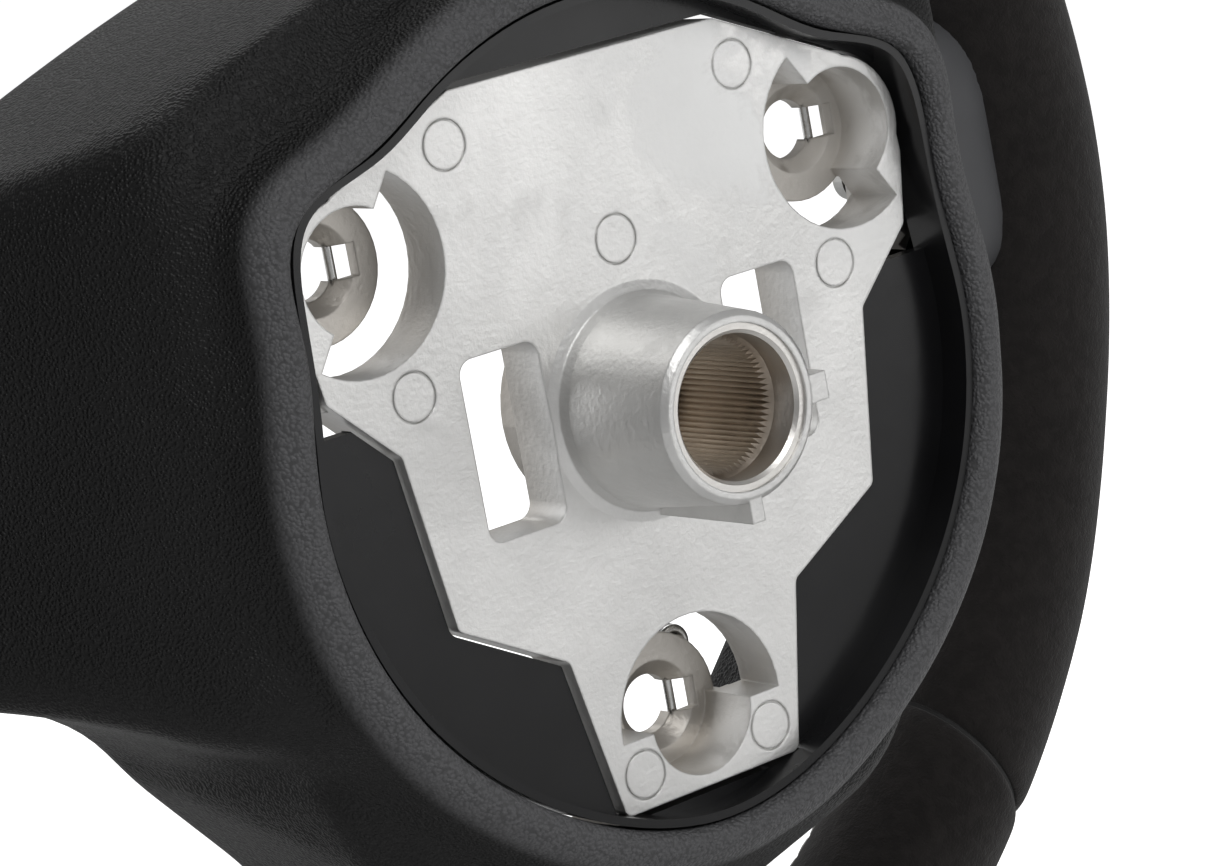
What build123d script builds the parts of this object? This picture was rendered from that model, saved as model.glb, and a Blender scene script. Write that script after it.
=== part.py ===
from build123d import *
import os
from math import cos, exp, pi, radians, sin

# Three-spoke road-car sports steering wheel, bare, as it comes with the driver module and
# the switches taken off.  Millimetres.
# Origin: centre of the hub plate's rear face, on the column axis.
# +Y points to the rear (towards the column), +Z to twelve o'clock, +X to the driver's right.

os.makedirs("parts", exist_ok=True)

# ---------------------------------------------------------------- rim
RIM_CENTRE_R = 164.0      # radius of the grip's centre circle
RIM_GRIP_R = 17.6         # radius of the finished grip section
RIM_PLANE = 88.0          # the rim's plane lies this far in front of the hub plate
SUEDE = 1.4               # thickness of the suede cover
CORE_R = 6.0              # steel ring inside the rim
CORE_WALL = 1.6
FIT_GAP = 0.2             # running gap between moulded or wrapped layers
STITCH_R = 0.7            # thread line along the inner side of the rim
# cover panels: name, start angle and span, both measured from +X towards +Z
PANELS = {"right": (-38.0, 68.0), "top": (30.0, 120.0), "left": (150.0, 68.0), "bottom": (218.0, 104.0)}
SEAM = 0.4                # degrees left open at each seam between two panels
STITCH_RUNS = [(14, 148), (198, 60), (282, 60)]

# ---------------------------------------------------------------- hub plate
PLATE_HALF = [(27, 57), (52, 45.8), (60.8, 38.5), (61.7, 27), (59.8, 15), (48, 3.5), (43.7, -26),
              (24, -37), (18.4, -65)]
PLATE_T = 10.0            # depth of the plate's ribs and edges
PLATE_SKIN = 4.5          # thickness of the plate between its ribs
RIB_T = 3.5
WINDOW_X = (19.0, 34.6)   # windows either side of the boss
WINDOW_Z = (-14.6, 15.2)
PIN_CIRCLE_R = 57.5       # the three module pins stand on this circle
PIN_CIRCLE_Z = 4.7        # height of that circle's centre
PIN_ANGLES = {"left": 150.0, "right": 30.0, "lower": 270.0}
PIN_HOLE_R = 5.0
POCKET_R = 16.6           # open half of a pin pocket
LOBE_R = 10.3             # closed half of a pin pocket
SEAT_R = 12.2             # round seat that carries the pin hole
SEAT_DEPTH = 12.0         # rear face of the seat
SEAT_T = 5.0
EJECTOR_R = 4.0
EJECTOR_MARKS = [(29.4, 48.9), (-29.4, 48.9), (43.7, 12.1), (-43.7, 12.1), (13.4, -59.2), (-13.4, -59.2),
                 (0, 26.8)]

# room for the arms where they leave the plate
ARM_ROOTS = [(60.0, 26.0), (-60.0, 26.0)]
LOWER_ROOT_Z = -62.0
ARM_ROOT_W = 9.0
ARM_ROOT_H = 33.0

# ---------------------------------------------------------------- boss and spline
BOSS_H = 24.5
BOSS_BASE_R = 17.2
BOSS_TIP_R = 15.45
SLEEVE_R = 13.4
ENTRY_R = 11.7            # smooth counterbore at the mouth
ENTRY_DEPTH = 6.0
SPLINE_TEETH = 72
SPLINE_MAJOR_R = 11.3
SPLINE_MINOR_R = 10.5
SLEEVE_END = -8.0         # front end of the splines
BOLT_R = 8.4              # column bolt hole
HUB_FRONT = -14.0

# ---------------------------------------------------------------- shell
# opening in the back of the shell: a circle with a soft corner at the upper left and right,
# and slightly longer at the bottom
OPENING_R = 67.0
CORNER_RISE = 8.9
CORNER_ANGLE = 34.0
CORNER_WIDTH = 11.0
BOTTOM_RISE = 3.0
BOTTOM_WIDTH = 24.0
OPENING_POINTS = 30
LIP_Y = 7.0               # the lip stands this far behind the hub plate
WALL = 3.0
# hub sections: depth in front of the plate, growth of the opening outline
HUB_SECTIONS = [(-LIP_Y, 3.0), (-4.0, 7.0), (4.0, 9.0), (24.0, 11.5), (45.0, 13.5), (64.0, 14.5)]
# side spoke sections: x, lowest z, highest z, rear y, front y
SPOKE_SECTIONS = [(56, -40, 69, 0.0, -64), (77, -37, 62, -1.0, -64), (96, -29, 55, -32.0, -71),
                  (118, -22, 44, -61.0, -83)]
ROOT_SECTIONS = [(118.6, -22, 44, -61.4, -83.2), (132, -20, 37, -71.0, -91), (149, -19, 33, -76.5, -98)]
# lower spoke sections: z, half width, rear y, front y
LOWER_SECTIONS = [(-56, 60, 0.0, -64), (-78, 47, -6.0, -66), (-96, 38, -34.0, -72), (-116, 32, -60.0, -82)]
LOWER_ROOT = [(-116.6, 32, -60.4, -82.2), (-132, 28, -70.5, -91), (-149, 26, -76.5, -98)]

# ---------------------------------------------------------------- latch springs
WIRE_R = 0.8
LATCH_DEPTH = 15.4        # the wire lies in a groove on the seat's front side
LATCH_OFFSET = 5.4        # wire centre line to pin axis, at rest
LATCH_LEG = 8.0           # the leg reaches this far above and below the pin axis
LATCH_GAP = 0.35          # room round the wire in its groove
POST_R = 1.6              # anchor post at the leg's top end
EYE_R = POST_R + WIRE_R + 0.1
POST_END = 18.4
CLIP_R = 3.3
CLIP_T = 0.6

# ---------------------------------------------------------------- liner and fasteners
LINER_GAP = 0.3
LINER_T = 1.4
LINER_TOP = 4.5           # top of the liner's wall, behind the plate
FLOOR_DEPTH = 1.5         # liner floor, in front of the plate's rear face
FLOOR_T = 2.5
PLATE_CLEAR = 0.8         # gap round the plate
LEDGE_DEPTH = 4.2         # the shell's ledge carries the liner from below
LEDGE_T = 2.4
# shell screws: x, z, shell boss top, boss seat, head seat, all depths in front of the plate
SHELL_SCREWS = [(88, 16, 26.5, 38.5, 43.5), (-88, 16, 26.5, 38.5, 43.5), (0, -92, 34.5, 41.5, 46.5)]
SCREW_R = 2.2
SCREW_HEAD_R = 4.0
SCREW_HEAD_T = 2.6
# trim screws: x, z of each front trim
TRIM_SCREWS = {"right": (132, 8), "left": (-132, 8), "lower": (0, -132)}
TRIM_SCREW_R = 1.6
TRIM_HEAD_R = 3.0
TRIM_HEAD_SEAT = 87.0
TRIM_BOSS_SEAT = 83.0
TRIM_SCREW_TIP = 77.5
TRIM_T = 2.5


def mirrored(half):
    """Closed outline from its right half, listed from top to bottom."""
    return list(half) + [(-x, z) for x, z in reversed(half)]


def outline(half, depth, radius, grow=0.0):
    """Face of a left-right symmetric outline, depth in front of the hub plate."""
    with BuildSketch(Plane.XZ.offset(depth)) as sketch:
        with BuildLine():
            Polyline(*mirrored(half), close=True)
        make_face()
        fillet(sketch.vertices(), radius)
        if grow:
            offset(amount=grow)
    return sketch.sketch


def opening(depth, grow=0.0):
    """Face of the shell's round opening, grown outwards, depth in front of the hub plate."""
    points = []
    for i in range(OPENING_POINTS):
        angle = 360 * (i + 0.5) / OPENING_POINTS - 90
        from_top = abs((angle + 90) % 360 - 180)
        from_corner = (from_top - 90 + CORNER_ANGLE) / CORNER_WIDTH
        from_bottom = (180 - from_top) / BOTTOM_WIDTH
        r = OPENING_R + grow + CORNER_RISE * exp(-from_corner ** 2) + BOTTOM_RISE * exp(-from_bottom ** 2)
        points.append((r * cos(radians(angle)), r * sin(radians(angle))))
    with BuildSketch(Plane.XZ.offset(depth)) as sketch:
        with BuildLine():
            Spline(*points, periodic=True)
        make_face()
    return sketch.sketch


def hub_loft(sections, grow=0.0):
    return [opening(depth, size + grow) for depth, size in sections]


def prism(side_plane, side_points, back_points):
    """Solid with one outline seen along the side plane's normal and another seen from the back."""
    with BuildPart() as block:
        with BuildSketch(side_plane):
            with BuildLine():
                Polyline(*side_points, close=True)
            make_face()
        extrude(amount=200, both=True)
        with BuildSketch(Plane.XZ):
            with BuildLine():
                Polyline(*back_points, close=True)
            make_face()
        extrude(amount=200, both=True, mode=Mode.INTERSECT)
    return block.part


def side_block(stations, inset=0.0, front_extra=0.0, sign=1):
    """Side spoke through its stations, hollowed by an inset copy that runs out at the front."""
    side = [(sign * x, rear - 1.2 * inset) for x, _, _, rear, _ in stations]
    side += [(sign * x, front - front_extra) for x, _, _, _, front in reversed(stations)]
    back = [(sign * x, high - inset) for x, _, high, _, _ in stations]
    back += [(sign * x, low + inset) for x, low, _, _, _ in reversed(stations)]
    return prism(Plane.XY, side, back)


def lower_block(stations, inset=0.0, front_extra=0.0):
    """Lower spoke through its stations, hollowed in the same way."""
    side = [(rear - 1.2 * inset, z) for z, _, rear, _ in stations]
    side += [(front - front_extra, z) for z, _, _, front in reversed(stations)]
    back = [(half - inset, z) for z, half, _, _ in stations]
    back += [(inset - half, z) for z, half, _, _ in reversed(stations)]
    return prism(Plane.YZ, side, back)


def radial_plane(angle):
    """Plane that holds the column axis, its local x pointing outwards at the angle."""
    a = radians(angle)
    return Plane(origin=(0, 0, 0), x_dir=(cos(a), 0, sin(a)), z_dir=(-sin(a), 0, cos(a)))


COLUMN_AXIS = Axis((0, 0, 0), (0, -1, 0))


def ring_sector(start, span, outer, inner=0.0):
    """Part of the rim's round section, from start over span degrees."""
    with BuildPart() as sector:
        with BuildSketch(radial_plane(start)):
            with Locations((RIM_CENTRE_R, -RIM_PLANE)):
                Circle(outer)
                if inner:
                    Circle(inner, mode=Mode.SUBTRACT)
        revolve(axis=COLUMN_AXIS, revolution_arc=span)
    return sector.part


def spoke_arms(grow=0.0):
    """The casting's three arms, from the plate to the steel ring in the rim."""
    g = grow
    rear = [(50, -1 + g), (60, -3 + g), (80, -24 + g), (100, -50 + g), (122, -72 + g), (140, -79.5 + g),
            (173, -79.5 + g)]
    front = [(173, -96.5 - g), (150, -93 - g), (118, -78 - g), (98, -60 - g), (76, -33 - g), (60, -12 - g),
             (50, -10 - g)]
    with BuildPart() as side:
        with BuildSketch(Plane.XY.offset(-12 - g)):
            with BuildLine():
                Polyline(*rear, *front, close=True)
            make_face()
        extrude(amount=56 + 2 * g)
        with BuildSketch(Plane.XZ):
            with BuildLine():
                Polyline((50, 41 + g), (62, 34 + g), (110, 24 + g), (173, 20 + g), (173, -4 - g),
                         (110, -3 - g), (62, 14 - g), (50, 12 - g), close=True)
            make_face()
        extrude(amount=100, both=True, mode=Mode.INTERSECT)
    low_rear = [(-1 + g, -52), (-3 + g, -64), (-22 + g, -80), (-48 + g, -100), (-71 + g, -122),
                (-79.5 + g, -140), (-79.5 + g, -173)]
    low_front = [(-96.5 - g, -173), (-93 - g, -150), (-78 - g, -118), (-60 - g, -100), (-34 - g, -78),
                 (-13 - g, -62), (-10 - g, -52)]
    with BuildPart() as lower:
        with BuildSketch(Plane.YZ.offset(-15 - g)):
            with BuildLine():
                Polyline(*low_rear, *low_front, close=True)
            make_face()
        extrude(amount=30 + 2 * g)
        with BuildSketch(Plane.XZ):
            with BuildLine():
                Polyline((-14 - g, -52), (-14 - g, -66), (-11 - g, -106), (-11 - g, -173), (11 + g, -173),
                         (11 + g, -106), (14 + g, -66), (14 + g, -52), close=True)
            make_face()
        extrude(amount=100, both=True, mode=Mode.INTERSECT)
    with BuildPart() as arms:
        add(side.part)
        mirror(about=Plane.YZ)
        add(lower.part)
    return arms.part


def pin_centre(name):
    a = radians(PIN_ANGLES[name])
    return PIN_CIRCLE_R * cos(a), PIN_CIRCLE_Z + PIN_CIRCLE_R * sin(a)


def pocket_plane(name, depth):
    """Plane at a pin, local x pointing away from the boss, depth in front of the plate."""
    x, z = pin_centre(name)
    length = (x * x + z * z) ** 0.5
    return Plane(origin=(x, -depth, z), x_dir=(x / length, 0, z / length), z_dir=(0, -1, 0))


def pocket_shape(plane):
    """Open half disc towards the boss, smaller lobe away from it."""
    with BuildSketch(plane) as sketch:
        Circle(POCKET_R)
        with Locations((POCKET_R + 0.5, 0)):
            Rectangle(2 * POCKET_R, 2 * POCKET_R + 2, mode=Mode.SUBTRACT)
        Circle(LOBE_R)
    return sketch.sketch


def latch_leg_x(name):
    """The sprung leg passes each pin hole on its -X side."""
    return pin_centre(name)[0] - LATCH_OFFSET


def post_place(name):
    """The anchor post stands beside the leg's top end."""
    return latch_leg_x(name) - EYE_R, pin_centre(name)[1] + LATCH_LEG


def plate_room():
    """Outline that clears the hub plate and the round pin seats at its corners."""
    with BuildSketch(Plane.XZ) as sketch:
        add(outline(PLATE_HALF, 0, 1.6, PLATE_CLEAR))
        for name in PIN_ANGLES:
            with Locations(pin_centre(name)):
                Circle(SEAT_R + PLATE_CLEAR)
        with Locations(*ARM_ROOTS):
            Rectangle(ARM_ROOT_W, ARM_ROOT_H)
        with Locations((0, LOWER_ROOT_Z)):
            Rectangle(ARM_ROOT_H, ARM_ROOT_W)
    return sketch.sketch


def rod(x, z, radius, rear, front):
    """Cylinder along the column axis between two depths in front of the plate."""
    with BuildPart() as piece:
        with BuildSketch(Plane.XZ.offset(rear)):
            with Locations((x, z)):
                Circle(radius)
        extrude(amount=front - rear)
    return piece.part


# ---------------------------------------------------------------- hub casting
with BuildPart() as hub_armature:
    plate_face = outline(PLATE_HALF, 0, 1.6)
    extrude(to_extrude=plate_face, amount=PLATE_T)
    with BuildSketch(Plane.XZ.offset(PLATE_SKIN)) as hollows:
        add(outline(PLATE_HALF, 0, 1.6, -RIB_T))
        for window_side in (-1, 1):
            with Locations((window_side * sum(WINDOW_X) / 2, sum(WINDOW_Z) / 2)):
                Rectangle(WINDOW_X[1] - WINDOW_X[0] + 2 * RIB_T, WINDOW_Z[1] - WINDOW_Z[0] + 2 * RIB_T,
                          mode=Mode.SUBTRACT)
        for pin_name in PIN_ANGLES:
            with Locations(pin_centre(pin_name)):
                Circle(POCKET_R + RIB_T, mode=Mode.SUBTRACT)
        Circle(BOSS_BASE_R + RIB_T, mode=Mode.SUBTRACT)
        for rib_angle in (60, 120, 180, 0):
            with Locations(Location((0, 0), rib_angle)):
                Rectangle(140, RIB_T, mode=Mode.SUBTRACT)
    extrude(amount=PLATE_T, mode=Mode.SUBTRACT)
    # hub on the driver's side, for the column bolt
    with BuildSketch(Plane.XZ):
        Circle(BOSS_BASE_R + 1.5)
    extrude(amount=-HUB_FRONT)
    add(spoke_arms())
    # boss, drafted, with its foot blended into the plate
    with BuildSketch(Plane.XY):
        with BuildLine():
            Polyline((0, -2), (BOSS_BASE_R + 2.4, -2), (BOSS_BASE_R + 2.4, 0), (BOSS_BASE_R + 0.7, 0.7),
                     (BOSS_BASE_R, 2.4), (BOSS_TIP_R, BOSS_H - 1.0), (BOSS_TIP_R - 1.0, BOSS_H), (0, BOSS_H),
                     close=True)
        make_face()
    revolve(axis=Axis.Y)
    # two index ribs along the boss
    with BuildSketch(Plane.XZ):
        with Locations((0, -16.4)):
            Rectangle(2.6, 4.8)
        with Locations((-15.6, -1.0)):
            Rectangle(5.2, 4.6)
    extrude(amount=-BOSS_H + 0.4)
    # windows
    with BuildSketch(Plane.XZ.offset(-0.5)):
        for window_side in (-1, 1):
            with Locations((window_side * sum(WINDOW_X) / 2, sum(WINDOW_Z) / 2)):
                RectangleRounded(WINDOW_X[1] - WINDOW_X[0], WINDOW_Z[1] - WINDOW_Z[0], 2.6)
    extrude(amount=PLATE_T + 2, mode=Mode.SUBTRACT)
    # pin pockets: a closed lobe away from the boss, a slot that is open right through towards it
    for pin_name in PIN_ANGLES:
        with BuildSketch(pocket_plane(pin_name, 0)):
            Circle(SEAT_R)
            with Locations((-SEAT_R, 0)):
                Rectangle(2 * SEAT_R, 2 * SEAT_R, mode=Mode.SUBTRACT)
        extrude(amount=SEAT_DEPTH + SEAT_T)
        extrude(to_extrude=pocket_shape(pocket_plane(pin_name, -0.5)), amount=SEAT_DEPTH + 0.5,
                mode=Mode.SUBTRACT)
        with BuildSketch(pocket_plane(pin_name, SEAT_DEPTH - 3)):
            Circle(POCKET_R)
            with Locations((POCKET_R + 0.5, 0)):
                Rectangle(2 * POCKET_R, 2 * POCKET_R + 2, mode=Mode.SUBTRACT)
        extrude(amount=22, mode=Mode.SUBTRACT)
        with BuildSketch(pocket_plane(pin_name, SEAT_DEPTH)):
            Circle(SEAT_R)
        extrude(amount=SEAT_T)
        # conical lead-in and pin hole
        hole_x, hole_z = pin_centre(pin_name)
        with Locations(Location((hole_x, -SEAT_DEPTH - 1.25, hole_z), (90, 0, 0))):
            Cone(PIN_HOLE_R + 2.5, PIN_HOLE_R, 2.5, mode=Mode.SUBTRACT)
        with Locations(Location((hole_x, -SEAT_DEPTH - SEAT_T / 2, hole_z), (90, 0, 0))):
            Cylinder(PIN_HOLE_R, SEAT_T + 20, mode=Mode.SUBTRACT)
        # groove for the latch wire in the seat's front face, open to the rear beside the pin
        post_x, post_z = post_place(pin_name)
        leg_x = latch_leg_x(pin_name)
        groove_top = LATCH_DEPTH - WIRE_R - LATCH_GAP
        with BuildSketch(Plane.XZ.offset(groove_top)):
            with Locations((post_x, post_z)):
                Circle(EYE_R + WIRE_R + LATCH_GAP)
            with Locations((leg_x - 1.7, hole_z - 0.7)):
                Rectangle(5.8, 2 * LATCH_LEG + 1.4)
        extrude(amount=30, mode=Mode.SUBTRACT)
        with BuildSketch(Plane.XZ.offset(SEAT_DEPTH - 0.5)):
            with Locations((leg_x - 0.9, hole_z)):
                Rectangle(4.2, 5.4)
        extrude(amount=6, mode=Mode.SUBTRACT)
        add(rod(post_x, post_z, POST_R, groove_top - 0.5, POST_END))
    # ejector marks
    with BuildSketch(Plane.XZ.offset(-0.1)):
        with Locations(*EJECTOR_MARKS):
            Circle(EJECTOR_R + 0.15)
            Circle(EJECTOR_R - 0.15, mode=Mode.SUBTRACT)
    extrude(amount=0.5, mode=Mode.SUBTRACT)
    # seat for the steel sleeve, and the column bolt hole
    with BuildSketch(Plane.XZ.offset(-BOSS_H - 1)):
        Circle(SLEEVE_R)
    extrude(amount=BOSS_H + 1 - SLEEVE_END, mode=Mode.SUBTRACT)
    with BuildSketch(Plane.XZ.offset(-SLEEVE_END - 1)):
        Circle(BOLT_R)
    extrude(amount=20, mode=Mode.SUBTRACT)
    # the arms are cast round the steel ring
    add(ring_sector(0, 360, CORE_R + 0.1), mode=Mode.SUBTRACT)
    # flat seats and holes for the screws
    for x, z, _, boss_seat, head_seat in SHELL_SCREWS:
        add(rod(x, z, SCREW_HEAD_R + 0.4, boss_seat - 12, boss_seat), mode=Mode.SUBTRACT)
        add(rod(x, z, SCREW_HEAD_R + 0.8, head_seat, head_seat + 25), mode=Mode.SUBTRACT)
        add(rod(x, z, SCREW_R + 0.1, boss_seat - 1, head_seat + 1), mode=Mode.SUBTRACT)
    for x, z in TRIM_SCREWS.values():
        add(rod(x, z, TRIM_HEAD_R + 1.2, TRIM_BOSS_SEAT, TRIM_BOSS_SEAT + 12), mode=Mode.SUBTRACT)
        add(rod(x, z, TRIM_SCREW_R + 0.1, TRIM_SCREW_TIP - 0.5, TRIM_BOSS_SEAT + 1), mode=Mode.SUBTRACT)
hub_armature.part.label = "hub_armature"
export_step(hub_armature.part, "parts/hub_armature.step")

# ---------------------------------------------------------------- steel sleeve with fine serrations
with BuildPart() as splined_sleeve:
    with BuildSketch(Plane.XZ.offset(-BOSS_H + 0.5)):
        Circle(SLEEVE_R - 0.05)
    extrude(amount=BOSS_H - 0.5 - SLEEVE_END - 0.1)
    with BuildSketch(Plane.XZ.offset(-BOSS_H)):
        with BuildLine():
            teeth = []
            for i in range(2 * SPLINE_TEETH):
                tooth_angle = pi * i / SPLINE_TEETH
                tooth_r = SPLINE_MAJOR_R if i % 2 else SPLINE_MINOR_R
                teeth.append((tooth_r * cos(tooth_angle), tooth_r * sin(tooth_angle)))
            Polyline(*teeth, close=True)
        make_face()
    extrude(amount=BOSS_H + 20, mode=Mode.SUBTRACT)
    # smooth mouth, with a cone where the serrations run out
    with BuildSketch(Plane.XY):
        with BuildLine():
            Polyline((0, BOSS_H + 1), (ENTRY_R + 0.6, BOSS_H + 1), (ENTRY_R + 0.6, BOSS_H - 0.5),
                     (ENTRY_R, BOSS_H - 1.1), (ENTRY_R, BOSS_H - ENTRY_DEPTH),
                     (SPLINE_MINOR_R, BOSS_H - ENTRY_DEPTH - 2.0), (0, BOSS_H - ENTRY_DEPTH - 2.0), close=True)
        make_face()
    revolve(axis=Axis.Y, mode=Mode.SUBTRACT)
splined_sleeve.part.label = "splined_sleeve"
export_step(splined_sleeve.part, "parts/splined_sleeve.step")

# ---------------------------------------------------------------- rim
with BuildPart() as rim_core_tube:
    add(ring_sector(0, 360, CORE_R, CORE_R - CORE_WALL))
rim_core_tube.part.label = "rim_core_tube"
export_step(rim_core_tube.part, "parts/rim_core_tube.step")

arm_room = spoke_arms(0.4)

with BuildPart() as rim_foam:
    add(ring_sector(0, 360, RIM_GRIP_R - SUEDE - FIT_GAP, CORE_R + FIT_GAP))
    add(arm_room, mode=Mode.SUBTRACT)
rim_foam.part.label = "rim_foam"
export_step(rim_foam.part, "parts/rim_foam.step")

for panel_name, (panel_start, panel_span) in PANELS.items():
    with BuildPart() as suede_cover:
        add(ring_sector(panel_start + SEAM / 2, panel_span - SEAM, RIM_GRIP_R, RIM_GRIP_R - SUEDE))
        add(arm_room, mode=Mode.SUBTRACT)
    suede_cover.part.label = "suede_cover_" + panel_name
    export_step(suede_cover.part, "parts/suede_cover_" + panel_name + ".step")

# thread line along the inner side of the rim, between the spokes
with BuildPart() as rim_stitching:
    for thread_start, thread_span in STITCH_RUNS:
        with BuildSketch(radial_plane(thread_start)):
            with Locations((RIM_CENTRE_R - RIM_GRIP_R - STITCH_R, -RIM_PLANE)):
                Circle(STITCH_R)
        revolve(axis=COLUMN_AXIS, revolution_arc=thread_span)
rim_stitching.part.label = "rim_stitching"
export_step(rim_stitching.part, "parts/rim_stitching.step")

# ---------------------------------------------------------------- rear shell
rim_room = ring_sector(0, 360, RIM_GRIP_R + 0.4)
shell_front = HUB_SECTIONS[-1][0]

with BuildPart() as rear_shell:
    loft(sections=hub_loft(HUB_SECTIONS))
    for shell_side in (1, -1):
        add(side_block(SPOKE_SECTIONS, sign=shell_side))
    add(lower_block(LOWER_SECTIONS))
    # hollow, open to the front
    loft(sections=hub_loft(HUB_SECTIONS[2:] + [(shell_front + 6, HUB_SECTIONS[-1][1])], -WALL),
         mode=Mode.SUBTRACT)
    side_end = SPOKE_SECTIONS[-1]
    for shell_side in (1, -1):
        add(side_block(SPOKE_SECTIONS + [(side_end[0] + 4, *side_end[1:])], WALL, 30, shell_side),
            mode=Mode.SUBTRACT)
    lower_end = LOWER_SECTIONS[-1]
    add(lower_block(LOWER_SECTIONS + [(lower_end[0] - 4, *lower_end[1:])], WALL, 30), mode=Mode.SUBTRACT)
    # opening in the back
    extrude(to_extrude=opening(-LIP_Y - 1), amount=LIP_Y + 30, mode=Mode.SUBTRACT)
    # skirt and ledge that carry the liner
    with BuildSketch(Plane.XZ.offset(2)):
        add(opening(0, 2.4))
        add(opening(0), mode=Mode.SUBTRACT)
    extrude(amount=LEDGE_DEPTH + LEDGE_T - 2)
    with BuildSketch(Plane.XZ.offset(LEDGE_DEPTH)):
        add(opening(0, 2.4))
        add(opening(0, -3.0), mode=Mode.SUBTRACT)
        add(plate_room(), mode=Mode.SUBTRACT)
    extrude(amount=LEDGE_T)
    # screw bosses
    for x, z, boss_top, boss_seat, _ in SHELL_SCREWS:
        add(rod(x, z, SCREW_HEAD_R, boss_top, boss_seat - 0.1))
        add(rod(x, z, SCREW_R + 0.1, boss_top + 3, boss_seat + 1), mode=Mode.SUBTRACT)
rear_shell.part.label = "rear_shell"
export_step(rear_shell.part, "parts/rear_shell.step")

# ---------------------------------------------------------------- liner round the hub plate
with BuildPart() as hub_liner:
    with BuildSketch(Plane.XZ.offset(-LINER_TOP)):
        add(opening(0, -LINER_GAP))
        add(opening(0, -LINER_GAP - LINER_T), mode=Mode.SUBTRACT)
    extrude(amount=LINER_TOP + FLOOR_DEPTH + FLOOR_T)
    with BuildSketch(Plane.XZ.offset(FLOOR_DEPTH)):
        add(opening(0, -LINER_GAP - LINER_T / 2))
        add(plate_room(), mode=Mode.SUBTRACT)
    extrude(amount=FLOOR_T)
    # the plate's lower corners come right up to the wall
    extrude(to_extrude=outline(PLATE_HALF, -FIT_GAP, 1.6, FIT_GAP), amount=FLOOR_DEPTH + FLOOR_T + 1,
            mode=Mode.SUBTRACT)
hub_liner.part.label = "hub_liner"
export_step(hub_liner.part, "parts/hub_liner.step")

# ---------------------------------------------------------------- spoke trims, a rear and a front half each
for trim_name, (screw_x, screw_z) in TRIM_SCREWS.items():
    for half_name in ("rear", "front"):
        with BuildPart() as trim:
            if trim_name == "lower":
                add(lower_block(LOWER_ROOT))
                first, last = LOWER_ROOT[0], LOWER_ROOT[-1]
                open_rows = [(first[0] + 3, *first[1:]), *LOWER_ROOT, (last[0] - 3, *last[1:])]
                add(lower_block(open_rows, TRIM_T, -TRIM_T), mode=Mode.SUBTRACT)
                parting = Plane(origin=(0, -72.0, -116.6), z_dir=(0, 0.87, -0.49))
            else:
                trim_side = 1 if trim_name == "right" else -1
                add(side_block(ROOT_SECTIONS, sign=trim_side))
                first, last = ROOT_SECTIONS[0], ROOT_SECTIONS[-1]
                open_rows = [(first[0] - 3, *first[1:]), *ROOT_SECTIONS, (last[0] + 3, *last[1:])]
                add(side_block(open_rows, TRIM_T, -TRIM_T, trim_side), mode=Mode.SUBTRACT)
                parting = Plane(origin=(118.6 * trim_side, -72.5, 0), z_dir=(0.49 * trim_side, 0.87, 0))
            add(rim_room, mode=Mode.SUBTRACT)
            split(bisect_by=parting, keep=Keep.TOP if half_name == "rear" else Keep.BOTTOM)
            if half_name == "front":
                add(rod(screw_x, screw_z, TRIM_HEAD_R + 1.1, TRIM_BOSS_SEAT + 0.1, TRIM_HEAD_SEAT + 1.5))
                add(rod(screw_x, screw_z, TRIM_HEAD_R + 0.3, TRIM_HEAD_SEAT, TRIM_HEAD_SEAT + 20),
                    mode=Mode.SUBTRACT)
                add(rod(screw_x, screw_z, TRIM_SCREW_R + 0.1, TRIM_BOSS_SEAT - 2, TRIM_HEAD_SEAT + 1),
                    mode=Mode.SUBTRACT)
        trim_label = trim_name + "_trim_" + half_name
        trim.part.label = trim_label
        export_step(trim.part, "parts/" + trim_label + ".step")

# ---------------------------------------------------------------- latch springs on their posts
for pin_name in PIN_ANGLES:
    post_x, post_z = post_place(pin_name)
    leg_x = latch_leg_x(pin_name)
    with BuildPart() as latch_spring:
        with Locations(Location((post_x, -LATCH_DEPTH, post_z), (90, 0, 0))):
            Torus(EYE_R, WIRE_R)
        with BuildSketch(Plane(origin=(leg_x, -LATCH_DEPTH, post_z), x_dir=(1, 0, 0), z_dir=(0, 0, -1))):
            Circle(WIRE_R)
        extrude(amount=2 * LATCH_LEG)
    latch_spring.part.label = pin_name + "_latch_spring"
    export_step(latch_spring.part, "parts/" + pin_name + "_latch_spring.step")

with BuildPart() as latch_clips:
    clip_rear = LATCH_DEPTH + WIRE_R + 0.15
    for pin_name in PIN_ANGLES:
        post_x, post_z = post_place(pin_name)
        add(rod(post_x, post_z, CLIP_R, clip_rear, clip_rear + CLIP_T))
        add(rod(post_x, post_z, POST_R + 0.05, clip_rear - 1, clip_rear + 2), mode=Mode.SUBTRACT)
latch_clips.part.label = "latch_clips"
export_step(latch_clips.part, "parts/latch_clips.step")

# ---------------------------------------------------------------- screws
with BuildPart() as shell_screws:
    for x, z, boss_top, boss_seat, head_seat in SHELL_SCREWS:
        add(rod(x, z, SCREW_R, boss_top + 3.5, head_seat + 0.5))
        add(rod(x, z, SCREW_HEAD_R, head_seat + 0.05, head_seat + SCREW_HEAD_T))
        with BuildSketch(Plane.XZ.offset(head_seat + SCREW_HEAD_T - 1.6)):
            with Locations((x, z)):
                RegularPolygon(1.9, 6)
        extrude(amount=3, mode=Mode.SUBTRACT)
shell_screws.part.label = "shell_screws"
export_step(shell_screws.part, "parts/shell_screws.step")

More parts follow.
